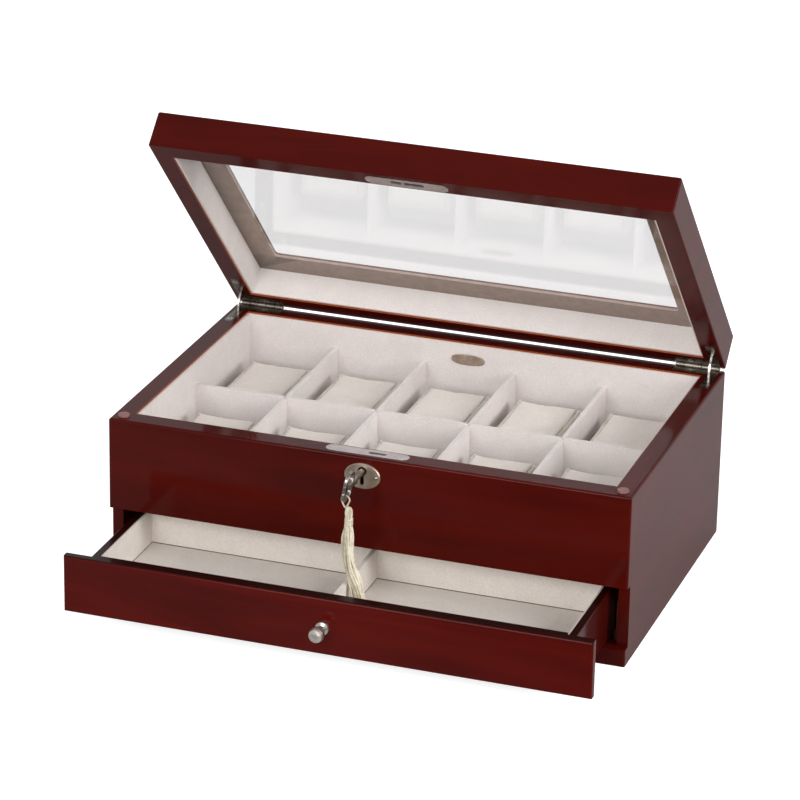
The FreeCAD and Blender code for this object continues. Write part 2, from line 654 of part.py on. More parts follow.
parts["drawer_back"] = box(-drawer_in_x, drawer_in_x, box_y1 - side_t, box_y1, drawer_z0, drawer_top)
inner_y0 = box_y0 + front_tongue_t
inner_y1 = box_y1 - side_t
parts["drawer_bottom"] = box(-drawer_in_x, drawer_in_x, box_y0, inner_y1,
                             wood_floor - drawer_bottom_t, wood_floor).cut(parts["drawer_front"])
d_lined_x = drawer_in_x - drawer_lining_t
d_lined_y0 = inner_y0 + drawer_lining_t * 0.5
d_lined_y1 = inner_y1 - drawer_lining_t
lining = box(-drawer_in_x, drawer_in_x, inner_y0, inner_y1, wood_floor, drawer_top - 0.8)
lining = lining.cut(box(-d_lined_x, d_lined_x, d_lined_y0, d_lined_y1, drawer_floor, case_h))
parts["drawer_lining"] = lining
part_y = drawer_y0 + partition_at
part_top = front_z1 - partition_below
part_lap = (drawer_floor + part_top) / 2.0
divider = box(knob_x - 0.2 - partition_t / 2, knob_x - 0.2 + partition_t / 2, d_lined_y0, d_lined_y1,
              drawer_floor, part_top)
divider = divider.cut(box(-half_w, half_w, part_y - partition_t / 2, part_y + partition_t / 2, part_lap, case_h))
partition = box(-d_lined_x, d_lined_x, part_y - partition_t / 2, part_y + partition_t / 2, drawer_floor, part_top)
partition = partition.cut(box(knob_x - 0.2 - partition_t / 2, knob_x - 0.2 + partition_t / 2,
                              drawer_y0, box_y1, 0, part_lap))
parts["drawer_divider"] = divider
parts["drawer_partition"] = partition

# Knob: flange, neck, round head and the stud that holds it
k = [(0.0, 0.0), (4.5, 0.0), (4.6, -0.8), (4.4, -2.4), (2.6, -3.6), (2.3, -5.6), (2.9, -7.2), (4.3, -8.4),
     (knob_r, -10.6), (knob_r, -12.4), (4.4, -14.4), (2.8, -15.8), (0.0, -knob_reach)]
pts = [V(knob_x + r, drawer_y0 + y, knob_z) for r, y in k]
knob = Part.Face(Part.makePolygon(pts + pts[:1])).revolve(V(knob_x, drawer_y0, knob_z), V(0, 1, 0), 360)
parts["drawer_knob"] = knob.fuse(stud)

for name, shape in parts.items():
    shape.translate(V(0, -half_d, 0))
    shape.exportStep("parts/%s.step" % name)
print(len(parts), "pieces")
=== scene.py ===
# %% [markdown]
# # A watch box with a drawer
# The box is a lacquered wooden case with a glazed lid. Ten lined compartments hold watch pillows,
# and a shallow drawer runs below them. The boards, the fittings and the linings come ready made
# from the frame file, at their real size and place. This lesson gives them their finishes, sews
# the pillows, ties the tassel and sets up the studio.

# %% Load the frame
import bmesh
import bpy
import math
import random
from mathutils import Matrix, Vector, noise


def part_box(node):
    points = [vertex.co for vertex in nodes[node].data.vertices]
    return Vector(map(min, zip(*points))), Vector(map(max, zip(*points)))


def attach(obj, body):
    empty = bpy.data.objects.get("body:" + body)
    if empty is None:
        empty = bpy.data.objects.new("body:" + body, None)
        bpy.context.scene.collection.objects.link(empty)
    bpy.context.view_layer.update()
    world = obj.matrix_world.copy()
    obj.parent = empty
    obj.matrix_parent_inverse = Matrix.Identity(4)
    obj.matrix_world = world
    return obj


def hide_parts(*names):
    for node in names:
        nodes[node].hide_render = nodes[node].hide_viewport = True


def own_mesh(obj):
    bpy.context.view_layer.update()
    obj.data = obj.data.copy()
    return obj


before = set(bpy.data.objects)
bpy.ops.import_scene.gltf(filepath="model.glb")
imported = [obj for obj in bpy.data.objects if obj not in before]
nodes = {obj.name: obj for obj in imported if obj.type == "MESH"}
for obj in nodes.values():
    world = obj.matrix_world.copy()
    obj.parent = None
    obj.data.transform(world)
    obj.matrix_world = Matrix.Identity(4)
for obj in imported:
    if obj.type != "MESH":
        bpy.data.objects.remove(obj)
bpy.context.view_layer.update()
mm = 0.001

# %% [markdown]
# ## The camera
# A product photographer stands a little to the right of the box and looks down on it with a long
# lens, so that the edges stay nearly parallel. A camera can be aimed with a Track To constraint,
# but then it cannot lean. Here it is built from three angles: how far it is turned to the side,
# how far it looks down, and how far it leans.

# %% Camera
turned_by = math.radians(18.716)
dips_by = math.radians(22.055)
leans_by = math.radians(1.126)
stands_at = (0.75440, -2.27361, 1.08420)
film_wide, picture_wide, lens_in_pixels = 36, 800, 3873.26

look = Vector((-math.sin(turned_by) * math.cos(dips_by), math.cos(turned_by) * math.cos(dips_by),
               -math.sin(dips_by)))
level = look.cross(Vector((0, 0, 1))).normalized()
rise = level.cross(look)
across = math.cos(leans_by) * level + math.sin(leans_by) * rise
upward = math.cos(leans_by) * rise - math.sin(leans_by) * level
camera = bpy.data.objects.new("camera", bpy.data.cameras.new("camera"))
bpy.context.scene.collection.objects.link(camera)
camera.matrix_world = Matrix.Translation(stands_at) @ Matrix((across, upward, -look)).transposed().to_4x4()
camera.data.lens = film_wide * lens_in_pixels / picture_wide
camera.data.sensor_width = film_wide
camera.data.clip_end = 50
bpy.context.scene.camera = camera
bpy.context.scene.view_settings.view_transform = "Standard"
print("lens", round(camera.data.lens, 1), "mm")

# %% [markdown]
# ## A short way to write shaders
# Every finish below is a small web of nodes. Written out, each node takes four or five lines. The
# helper adds a node by its type and joins a value, or another node's output, to a named socket,
# so that a recipe reads like a list.


# %% Node helper
class Web:
    def __init__(self, tree):
        self.tree = tree

    def put(self, socket, value):
        if isinstance(value, bpy.types.NodeSocket):
            self.tree.links.new(value, socket)
        elif value is not None:
            socket.default_value = value

    def add(self, kind, inputs=(), **settings):
        node = self.tree.nodes.new(kind)
        for key, value in settings.items():
            setattr(node, key, value)
        for key, value in dict(inputs).items():
            self.put(node.inputs[key], value)
        return node

    def mix(self, fac, a, b, kind="MIX"):
        node = self.add("ShaderNodeMix", data_type="RGBA", blend_type=kind)
        self.put(node.inputs["Factor"], fac)
        self.put(node.inputs["A"], a)
        self.put(node.inputs["B"], b)
        return node.outputs["Result"]

    def math(self, kind, a, b=None):
        node = self.add("ShaderNodeMath", operation=kind)
        self.put(node.inputs[0], a)
        self.put(node.inputs[1], b)
        return node.outputs[0]


print("node helper:", Web.__name__)

# %% [markdown]
# A finish is such a web for one material. It starts at the coordinates of the piece, in metres,
# and ends at the Principled shader. Patterns are procedural noise and not pictures, so they have
# no seams and no size limit.


# %% Finish helper
class Finish(Web):
    def __init__(self, name):
        self.material = bpy.data.materials.new(name)
        self.material.use_nodes = True
        super().__init__(self.material.node_tree)
        self.shader = self.tree.nodes["Principled BSDF"]
        self.place = self.add("ShaderNodeTexCoord").outputs["Object"]

    def set(self, **values):
        for key, value in values.items():
            self.put(self.shader.inputs[key.replace("_", " ")], value)

    def axes(self, vector):
        return self.add("ShaderNodeSeparateXYZ", {"Vector": vector}).outputs

    def stretch(self, scale, turn=(0, 0, 0)):
        mapping = self.add("ShaderNodeMapping", {"Vector": self.place})
        mapping.inputs["Scale"].default_value = scale
        mapping.inputs["Rotation"].default_value = turn
        return mapping.outputs["Vector"]

    def noise(self, vector, scale, detail=4, rough=0.5, distortion=0.0):
        return self.add("ShaderNodeTexNoise", {"Vector": vector, "Scale": scale, "Detail": detail,
                                               "Roughness": rough, "Distortion": distortion}).outputs["Fac"]

    def ramp(self, fac, *stops):
        node = self.add("ShaderNodeValToRGB", {"Fac": fac})
        line = node.color_ramp.elements
        while len(line) < len(stops):
            line.new(1.0)
        for element, (at, colour) in zip(line, stops):
            element.position = at
            element.color = (*colour, 1)
        return node.outputs["Color"]

    def bump(self, height, distance, strength):
        return self.add("ShaderNodeBump", {"Height": height, "Distance": distance,
                                           "Strength": strength}).outputs["Normal"]


def dress(material, *names):
    for name in names:
        slots = nodes[name].data.materials
        slots.clear()
        slots.append(material)


print("finish helper:", Finish.__name__)

# %% [markdown]
# ## Where the boards turn inwards
# The lacquer is dark outside. On the narrow edges inside the rim, where the board meets the
# lining, a bright orange brown is painted as painted light. The places are found from the
# coordinates, so no board has to be cut in two. The open lid is first turned back about its hinge,
# so that one rule serves the case and the lid.

# %% Inner edges
inner_x, inner_front, inner_back = 164.3 * mm, -101.45 * mm, 102.45 * mm
tray_from_z = 62 * mm
edge_margin = 0.2 * mm
hinge_y, hinge_z = 115.45 * mm, 119.0 * mm
opened = math.radians(45.5)


def closed_place(finish):
    """Object coordinates, turned back about the hinge so that the open lid reads as if it were shut."""
    mapping = finish.add("ShaderNodeMapping", {"Vector": finish.place})
    axis = Vector((0, hinge_y, hinge_z))
    mapping.inputs["Rotation"].default_value = (opened, 0, 0)
    mapping.inputs["Location"].default_value = axis - Matrix.Rotation(opened, 3, "X") @ axis
    return mapping.outputs["Vector"]


def lit_inner_faces(finish, place):
    """1 on the inner faces of the case or lid, where the painted light goes, 0 elsewhere."""
    x, y, z = finish.axes(place)
    wide = finish.math("LESS_THAN", finish.math("ABSOLUTE", x), inner_x + edge_margin)
    ahead = finish.math("GREATER_THAN", y, inner_front - edge_margin)
    behind = finish.math("LESS_THAN", y, inner_back + edge_margin)
    above = finish.math("GREATER_THAN", z, tray_from_z)
    beside = finish.math("MULTIPLY", wide, ahead)
    return finish.math("MULTIPLY", beside, finish.math("MULTIPLY", behind, above))


print("inner width", round(2 * inner_x / mm, 1), "mm, lid open by", round(math.degrees(opened), 1), "degrees")

# %% [markdown]
# ## Cherry stain
# The case is a fine pored hardwood, stained to a dark cherry red. Stain takes unevenly: soft
# flames follow the grain, thin streaks stay darker, and wide clouds run a little redder. The grain
# runs along the length of each board. Noise that is squeezed along that axis draws it, which needs
# no painted picture of wood.

# %% Stain
# Painted light: the bright orange brown of the inner faces above the lining.
painted_light_edge = (0.26, 0.055, 0.016, 1)
# Painted shade: nearly black for the drawer boards' upward faces.
painted_top_shade = (0.015, 0.0016, 0.0009, 1)


def stained(wood, long_way, tone):
    across_way = tuple(4 * v if v == 1 else v for v in long_way)
    flame = wood.noise(wood.stretch(long_way), scale=34, detail=5, rough=0.55, distortion=1.2)
    streak = wood.noise(wood.stretch(across_way), scale=60, detail=4, rough=0.65, distortion=0.4)
    cloud = wood.noise(wood.place, scale=9, detail=3)
    stain = wood.ramp(flame, (0.30, (0.036 * tone, 0.0016, 0.0008)), (0.52, (0.058 * tone, 0.0024, 0.0009)),
                      (0.74, (0.086 * tone, 0.0046, 0.0014)))
    stain = wood.mix(wood.math("MULTIPLY", streak, 0.5), stain, (0.024 * tone, 0.0014, 0.001, 1))
    return wood.mix(wood.ramp(cloud, (0.35, (0, 0, 0)), (0.7, (0.4, 0.4, 0.4))), stain,
                    (0.080 * tone, 0.004, 0.0015, 1))


# The edge colour printed here is painted light on the inner faces.
print("stain for the edges:", painted_light_edge[:3])

# %% [markdown]
# ## Lacquer
# Clear varnish is sprayed over the stain. It could be a second, see-through skin, but the
# shader's own coat does the same with less: a glossy layer over a matt ground, with the slight
# orange skin of sprayed varnish in its own bump. The pores of the wood stay in the ground below.
# On the drawer's boards, the faces that point upward are painted nearly black, as painted shade.


# %% Lacquered boards
def lacquered_wood(name, grain, tone=1.08, on_lid=False, shaded_top=False):
    wood = Finish(name)
    long_way = {"x": (0.12, 1, 1), "y": (1, 0.12, 1)}[grain]
    pore_way = tuple(1 if v == 1 else 0.06 for v in long_way)
    place = closed_place(wood) if on_lid else wood.place
    # The inner faces take the painted light in place of the stain.
    stain = wood.mix(lit_inner_faces(wood, place), stained(wood, long_way, tone), painted_light_edge)
    # Painted shade: faces that point upward turn nearly black.
    if shaded_top:
        facing = wood.axes(wood.add("ShaderNodeNewGeometry").outputs["Normal"])
        stain = wood.mix(wood.math("GREATER_THAN", facing["Z"], 0.8), stain, painted_top_shade)
    pores = wood.noise(wood.stretch(pore_way), scale=900, detail=2, rough=0.6)
    pore_depth = wood.ramp(pores, (0.30, (0, 0, 0)), (0.42, (1, 1, 1)))
    skin = wood.noise(wood.place, scale=260, detail=2)
    wood.set(Base_Color=stain, Roughness=0.45, Specular_IOR_Level=0.04,
             Coat_Weight=0.75, Coat_Roughness=0.09, Coat_IOR=1.22,
             Normal=wood.bump(pore_depth, 0.03 * mm, 0.5), Coat_Normal=wood.bump(skin, 0.05 * mm, 0.35))
    return wood.material


case_x = lacquered_wood("cherry_lacquer_along_x", "x")
case_y = lacquered_wood("cherry_lacquer_along_y", "y")
lid_x = lacquered_wood("cherry_lacquer_lid_x", "x", on_lid=True)
lid_y = lacquered_wood("cherry_lacquer_lid_y", "y", on_lid=True)
drawer_x = lacquered_wood("cherry_lacquer_drawer_x", "x", tone=1.25, shaded_top=True)
drawer_y = lacquered_wood("cherry_lacquer_drawer_y", "y", tone=0.9, shaded_top=True)
dress(case_x, "front_fascia", "back_panel", "base_rail")
dress(case_y, "side_panel_left", "side_panel_right")
dress(lid_x, "lid_rail_front", "lid_rail_back")
dress(lid_y, "lid_rail_left", "lid_rail_right")
dress(drawer_x, "drawer_front", "drawer_back")
dress(drawer_y, "drawer_side_left", "drawer_side_right")
print("lacquered boards:", sum("cherry" in str(nodes[n].data.materials[:]) for n in nodes))

# %% [markdown]
# ## Window frame
# The frame of the window is lacquered on top. Its underside, which shows through the pane when the
# lid stands open, is only painted a satin taupe to go with the lining. One material holds both,
# and the height above the shut lid's underside chooses between them.

# %% Window frame
frame_underside = 144.3 * mm
taupe = Finish("window_frame")
below = taupe.math("LESS_THAN", taupe.axes(closed_place(taupe))["Z"], frame_underside)
grain = taupe.noise(taupe.stretch((0.12, 1, 1)), scale=34, detail=5, rough=0.55, distortion=1.2)
dark_wood = taupe.ramp(grain, (0.30, (0.052, 0.0034, 0.0018)), (0.74, (0.098, 0.0075, 0.0026)))
paint = taupe.ramp(taupe.noise(taupe.place, scale=160, rough=0.6),
                   (0.3, (0.37, 0.262, 0.20)), (0.7, (0.47, 0.34, 0.27)))
taupe.set(Base_Color=taupe.mix(below, dark_wood, paint), Roughness=0.5, Specular_IOR_Level=0.1,
          Coat_Weight=0.75, Coat_Roughness=0.12, Coat_IOR=1.22)
dress(taupe.material, "lid_top_frame")
print("taupe below", round(frame_underside / mm, 1), "mm")

# %% [markdown]
# ## Plain board
# What nobody sees, such as the bottom, the deck and the runners, is stained but left without
# lacquer. It is matt, browner, and its grain is a little rough, so the same kind of noise goes
# into the bump as well as the colour.

# %% Plain board
board = Finish("stained_board")
grain = board.noise(board.stretch((0.1, 1, 1)), scale=70, detail=5, rough=0.6, distortion=0.8)
fibres = board.noise(board.stretch((0.08, 1, 1)), scale=700, detail=3, rough=0.6)
colour = board.ramp(grain, (0.3, (0.06, 0.020, 0.012)), (0.6, (0.13, 0.045, 0.026)),
                    (0.8, (0.18, 0.07, 0.04)))
board.set(Base_Color=colour, Roughness=0.62, Normal=board.bump(fibres, 0.1 * mm, 0.5))
plain_boards = ("bottom_board", "deck_board", "drawer_runner_left", "drawer_runner_right", "drawer_bottom")
dress(board.material, *plain_boards)
print("plain boards:", len(plain_boards))

# %% [markdown]
# ## Velour lining
# The tray, the lid and the drawer are lined with cream velour glued over card. Its pile is short
# and lies a little this way and that, which shows as soft clouds of lighter and darker cream and
# as a fine fleck. Real hairs would be far too many here. Fine noise gives the fleck, and sheen
# gives the pale bloom that pile has when it is seen from the side. Where the walls of the drawer
# meet its floor, the two cloths leave a thin dark gap.

# %% Velour
# Painted shade: a thin dark line where the drawer's walls meet its floor, for the gap between the cloths.
gap_shade = (0.16, 0.125, 0.11, 1)
gap_from, gap_to = 0.05 * mm, 0.75 * mm


def velour(name, low, high, nap=0.12 * mm, weave=1500, seam=None):
    cloth = Finish(name)
    nap_cloud = cloth.noise(cloth.place, scale=70, rough=0.55, distortion=0.4)
    fleck = cloth.noise(cloth.place, scale=1300, detail=3, rough=0.75)
    tone = cloth.math("ADD", cloth.math("MULTIPLY", nap_cloud, 0.22), cloth.math("MULTIPLY", fleck, 0.78))
    colour = cloth.ramp(tone, (0.32, low), (0.66, high))
    if seam is not None:
        height = cloth.axes(cloth.place)["Z"]
        close = cloth.math("MULTIPLY", cloth.math("GREATER_THAN", height, seam + gap_from),
                           cloth.math("LESS_THAN", height, seam + gap_to))
        colour = cloth.mix(close, colour, gap_shade)
    pile = cloth.noise(cloth.place, scale=weave, detail=2, rough=0.6)
    relief = cloth.math("ADD", cloth.math("MULTIPLY", pile, 0.5), cloth.math("MULTIPLY", fleck, 0.7))
    cloth.set(Base_Color=colour, Roughness=0.95, Specular_IOR_Level=0.1, Sheen_Weight=0.25,
              Sheen_Roughness=0.4, Sheen_Tint=(1, 0.97, 0.94, 1), Normal=cloth.bump(relief, nap, 0.8))
    return cloth.material


card = 1.5 * mm
drawer_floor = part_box("drawer_lining")[0].z + card
lining = velour("cream_velour", (0.62, 0.565, 0.545), (0.80, 0.745, 0.72))
# The drawer's copy of the velour is a little lighter than the tray's, as painted light inside the drawer.
drawer_cloth = velour("cream_velour_drawer", (0.65, 0.595, 0.545), (0.84, 0.78, 0.72), seam=drawer_floor)
dress(lining, "tray_floor_lining", "tray_wall_lining", "long_divider", "cross_dividers", "lid_lining")
dress(drawer_cloth, "drawer_lining", "drawer_divider", "drawer_partition")
print("drawer floor at", round(drawer_floor / mm, 1), "mm")

# %% [markdown]
# ## Metal fittings
# The lock plates, hinges, key and knob are steel, nickelled and brushed satin. The brush leaves
# hair lines, and handling leaves slightly duller clouds. Hair lines are too fine to model, so
# they are noise, squeezed along the brush, in the bump. The lock behind the keyhole is brass. Some
# copies of the nickel carry painted light: the hinge leaves are darker, a painted reflection of the
# dark wood; the screws and stays are brighter, as painted glints; the upward lock and strike plates
# and the knob are lighter, as painted light; the escutcheon has a warmer, lighter copy of its own,
# painted light as well. The lock bolt is painted near black, as painted shade in its slot.


# %% Metals
def satin_metal(name, low, high, rough, brushed):
    metal = Finish(name)
    hair = metal.noise(metal.stretch(brushed), scale=1800, detail=3, rough=0.6)
    cloud = metal.noise(metal.place, scale=130, rough=0.6)
    colour = metal.ramp(cloud, (0.35, low), (0.7, high))
    dull = metal.add("ShaderNodeMapRange", {"Value": cloud, "From Min": 0.3, "From Max": 0.7,
                                            "To Min": rough - 0.06, "To Max": rough + 0.1}).outputs["Result"]
    metal.set(Base_Color=colour, Metallic=1.0, Roughness=dull, Normal=metal.bump(hair, 0.02 * mm, 0.35))
    return metal.material


upright, sideways = (1, 1, 0.05), (0.05, 1, 1)
# After the first, the nickel copies below are painted light and shade for their pieces; the brass is the
# lock's own colour.
metals = (
    ("satin_nickel", (0.28, 0.25, 0.22), (0.50, 0.455, 0.41), 0.34, upright,
     ("hinge_pins", "key", "escutcheon_pins")),
    ("escutcheon_nickel_painted_light", (0.48, 0.37, 0.295), (0.72, 0.59, 0.48), 0.36, sideways, ("escutcheon",)),
    ("plate_nickel_painted_light", (0.56, 0.50, 0.495), (0.76, 0.69, 0.68), 0.38, sideways,
     ("lock_face_plate", "strike_plate")),
    ("hinge_nickel_painted_reflection", (0.12, 0.105, 0.09), (0.28, 0.25, 0.215), 0.28, sideways,
     ("hinge_lower_left", "hinge_lower_right", "hinge_upper_left", "hinge_upper_right")),
    ("screw_nickel_painted_glint", (0.50, 0.46, 0.43), (0.80, 0.75, 0.70), 0.26, upright,
     ("hinge_stay_left", "hinge_stay_right", "case_screws", "lid_screws")),
    ("knob_nickel_painted_light", (0.50, 0.44, 0.41), (0.76, 0.69, 0.65), 0.34, upright, ("drawer_knob",)),
    ("lock_brass", (0.42, 0.25, 0.08), (0.62, 0.40, 0.14), 0.3, upright, ("lock_case",)),
    ("lock_bolt_painted_shade", (0.004, 0.0036, 0.0032), (0.010, 0.009, 0.008), 0.6, upright, ("lock_bolt",)),
)
for name, low, high, rough, brushed, pieces in metals:
    dress(satin_metal(name, low, high, rough, brushed), *pieces)
print("metals:", len(metals))

# %% [markdown]
# ## Bare badge
# A small pressed plate is stuck to the lining of the back wall. Its outline is fuller than an
# ellipse, and its front edge is rolled. A scaled cylinder would give a plain ellipse. So a ring of
# vertices is swelled to the fuller outline, filled, pulled out to the plate's thickness, and
# bevelled round the front.

# %% Badge
badge_low, badge_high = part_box("badge_plate")
badge_half = (badge_high - badge_low) / 2
fullness = 2.6
roll = 0.35 * mm
form = bmesh.new()
bmesh.ops.create_circle(form, cap_ends=True, segments=96, radius=1.0)
for vertex in form.verts:
    vertex.co *= (abs(vertex.co.x) ** fullness + abs(vertex.co.y) ** fullness) ** (-1 / fullness)
bmesh.ops.scale(form, vec=(badge_half.x, badge_half.z, 1), verts=form.verts)
bmesh.ops.rotate(form, cent=(0, 0, 0), matrix=Matrix.Rotation(math.radians(90), 3, "X"), verts=form.verts)
bmesh.ops.translate(form, vec=(0, badge_half.y, 0), verts=form.verts)
pulled = bmesh.ops.extrude_face_region(form, geom=form.faces[:])
front = [g for g in pulled["geom"] if isinstance(g, bmesh.types.BMVert)]
bmesh.ops.translate(form, vec=(0, -2 * badge_half.y, 0), verts=front)
bmesh.ops.recalc_face_normals(form, faces=form.faces)
rolled = [edge for edge in form.edges if all(vertex in front for vertex in edge.verts)]
bmesh.ops.bevel(form, geom=rolled, offset=roll, segments=3, profile=0.5, affect="EDGES", material=-1)
bmesh.ops.translate(form, vec=(badge_low + badge_high) / 2, verts=form.verts)
print("badge faces:", len(form.faces))

# %% [markdown]
# The same three steps end every piece that is modelled here: the form becomes a mesh, the mesh
# gets its materials, and an object that sits at the origin carries it. The frame's own piece that
# it stands for is then hidden, and the new piece is hung on the body it rides on.


# %% Badge in place
def as_object(name, mesh, *materials):
    for material in materials:
        mesh.materials.append(material)
    obj = bpy.data.objects.new(name, mesh)
    bpy.context.scene.collection.objects.link(obj)
    return obj


def as_mesh(name, form):
    mesh = bpy.data.meshes.new(name)
    form.to_mesh(mesh)
    form.free()
    return mesh


badge_nickel = satin_metal("badge_nickel", (0.35, 0.275, 0.22), (0.53, 0.435, 0.36), 0.36, sideways)
badge = as_object("badge_oval", as_mesh("badge_oval", form), badge_nickel)
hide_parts("badge_plate")
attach(badge, "case")
print("badge", [round(2 * v / mm, 1) for v in badge_half], "mm")

# %% [markdown]
# ## Window pane
# The lid's window is a clear sheet that takes a little light on its way through. In a renderer
# that follows single rays, a glass shader throws a dark shadow. So light that only casts shadows
# goes straight past, as most of it does through a real pane.

# %% Pane
pane = Finish("window_glass")
pane.set(Base_Color=(0.83, 0.825, 0.83, 1), Roughness=0.0, Transmission_Weight=1.0, IOR=1.45)
past = pane.add("ShaderNodeBsdfTransparent", {"Color": (0.9, 0.9, 0.9, 1)})
path = pane.add("ShaderNodeLightPath").outputs
choose = pane.add("ShaderNodeMixShader", {0: path["Is Shadow Ray"], 1: pane.shader.outputs[0],
                                          2: past.outputs[0]})
pane.put(pane.tree.nodes["Material Output"].inputs["Surface"], choose.outputs[0])
dress(pane.material, "lid_glass")
print("pane:", pane.material.name)

# %% [markdown]
# ## Bumpers
# Two soft clear plastic dots keep the lid off the lacquer. They pick up the colour of the wood
# below them. True clear plastic costs many bounces of light on a piece of a few millimetres, so a
# dusky pink with a little light under its skin stands for it.

# %% Bumpers
dot = Finish("bumper_plastic")
dot_cloud = dot.ramp(dot.noise(dot.place, scale=300, detail=3),
                     (0.3, (0.20, 0.085, 0.075)), (0.7, (0.27, 0.12, 0.11)))
dot.set(Base_Color=dot_cloud, Roughness=0.35, Subsurface_Weight=0.3, Subsurface_Scale=2 * mm)
dress(dot.material, "bumper_discs")
print("bumpers:", dot.material.name)

# %% [markdown]
# ## Silk
# The tassel is ivory rayon silk. Each yarn is twisted, so the thread shows slanting ribs, and the
# fibres give it a soft gloss. Twisting the meshes would need many more faces, so the ribs are a
# wave pattern. Every yarn is an island of its own mesh and gets its own shade, which keeps the
# bundle from melting into one.


# %% Silk
def silk(name, low, high):
    thread = Finish(name)
    slanting = thread.stretch((1, 1, 1), (0.5, 0.6, 0.0))
    ribs = thread.add("ShaderNodeTexWave", {"Vector": slanting, "Scale": 420, "Distortion": 2.0, "Detail": 2},
                      wave_type="BANDS").outputs["Fac"]
    cloud = thread.noise(thread.place, scale=260, detail=3, rough=0.6)
    # The wave also darkens the colour in its bands, as painted shade between the ribs; the same wave goes
    # into the bump.
    colour = thread.mix(thread.math("MULTIPLY", ribs, 0.25), thread.ramp(cloud, (0.35, low), (0.7, high)),
                        (*[v * 0.8 for v in low], 1))
    island = thread.add("ShaderNodeNewGeometry").outputs["Random Per Island"]
    shade = thread.ramp(island, (0.0, (0.62, 0.60, 0.56)), (0.6, (1, 1, 1)))
    colour = thread.mix(1.0, colour, shade, "MULTIPLY")
    thread.set(Base_Color=colour, Roughness=0.5, Sheen_Weight=0.35, Sheen_Roughness=0.35,
               Normal=thread.bump(ribs, 0.1 * mm, 0.6))
    return thread.material


ivory = silk("ivory_silk", (0.60, 0.53, 0.39), (0.86, 0.80, 0.67))
dress(ivory, "tassel_cord")
print("silk:", ivory.name)

# %% [markdown]
# ## One pillow, from a rounded block
# A watch pillow is a small cushion in brushed cream cloth. A strip of cloth goes round it and two
# end caps close it. The form starts as a block. The four edges along it are rounded widely, and
# the edges of the two end caps only a little, because a seam holds them.

# %% Pillow block
pillow_low, pillow_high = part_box("pillow_01")
wide, deep, tall = pillow_high - pillow_low
half_size = (wide / 2, deep / 2, tall / 2)


def round_edges(form, edges, radius, segments):
    bmesh.ops.bevel(form, geom=edges, offset=radius, offset_type="OFFSET", segments=segments, profile=0.5,
                    affect="EDGES", material=-1, clamp_overlap=True)


def rounded_block(size, radius):
    form = bmesh.new()
    bmesh.ops.create_cube(form, size=1.0)
    bmesh.ops.scale(form, vec=size, verts=form.verts)
    along = [e for e in form.edges if abs(e.verts[0].co.x - e.verts[1].co.x) > size[0] * 0.5]
    round_edges(form, along, radius, 6)
    at_end = size[0] * 0.49
    ends = [e for e in form.edges
            if min(v.co.x for v in e.verts) > at_end or max(v.co.x for v in e.verts) < -at_end]
    round_edges(form, ends, radius * 0.3, 2)
    return as_mesh("block", form)


print("pillow", [round(v / mm, 1) for v in (wide, deep, tall)], "mm")

# %% [markdown]
# ## Filling it
# The block is blown up by cloth simulation with a little pressure, which bulges each side as a
# filling would. Moving the points by hand could not give such even tension. Gravity is off and the
# number of frames is fixed, so every run gives the same form.

# %% Cloth under pressure
frames = 20


def applied(obj):
    shown = bpy.context.evaluated_depsgraph_get()
    mesh = bpy.data.meshes.new_from_object(obj.evaluated_get(shown), depsgraph=shown)
    obj.modifiers.clear()
    obj.data = mesh


def blow_up(obj):
    cloth = obj.modifiers.new("cloth", "CLOTH")
    cloth.settings.use_pressure = True
    cloth.settings.uniform_pressure_force = 4
    cloth.settings.quality = 5
    cloth.settings.effector_weights.gravity = 0
    for step in range(1, frames + 1):
        bpy.context.scene.frame_set(step)
    applied(obj)
    bpy.context.scene.frame_set(1)


print("cloth frames:", frames)

# %% [markdown]
# The block first gets an even skin of small faces. It is blown up at ten times life size, because
# cloth behaves better at that size. No point may move further than the greatest bulge. In the end
# one smooth subdivision is applied.

# %% Blown form
big = 10.0
block_less = (2.0 * mm, 2.6 * mm, 2.4 * mm)
block_round, most_bulge, voxel = 4.2 * mm, 1.1 * mm, 1.6 * mm


def inflated(size, radius, cap):
    obj = as_object("pillow_form", rounded_block([v * big for v in size], radius * big))
    remesh = obj.modifiers.new("remesh", "REMESH")
    remesh.mode = "VOXEL"
    remesh.voxel_size = voxel * big
    applied(obj)
    start = [v.co.copy() for v in obj.data.vertices]
    blow_up(obj)
    for vertex, was in zip(obj.data.vertices, start):
        move = vertex.co - was
        if move.length > cap * big:
            vertex.co = was + move.normalized() * cap * big
    soften = obj.modifiers.new("soften", "SUBSURF")
    soften.levels = soften.render_levels = 1
    applied(obj)
    obj.data.transform(Matrix.Scale(1 / big, 4))
    mesh = obj.data
    bpy.data.objects.remove(obj)
    return mesh


block_size = [full - less for full, less in zip((wide, deep, tall), block_less)]
pillow_form = inflated(block_size, block_round, most_bulge)
reach = [max(abs(v.co[i]) for v in pillow_form.vertices) / mm for i in range(3)]
print("blown form, half size:", [round(v, 2) for v in reach], "mm,", len(pillow_form.vertices), "points")

# %% [markdown]
# ## Seams and welts
# A seam runs round each end of the pillow, and beside it lies a welt, a fine raised cord under the
# cloth. They could be separate rings of cord. Here the pillow itself is cut into rings near the
# ends, and each ring is pressed in or lifted, so that cloth, seam and welt stay one closed skin.

# %% Sewing
pile = {"nap": 0.08 * mm, "weave": 2200}
pillow_cloth = velour("pillow_velvet", (0.64, 0.585, 0.54), (0.83, 0.77, 0.715), **pile)
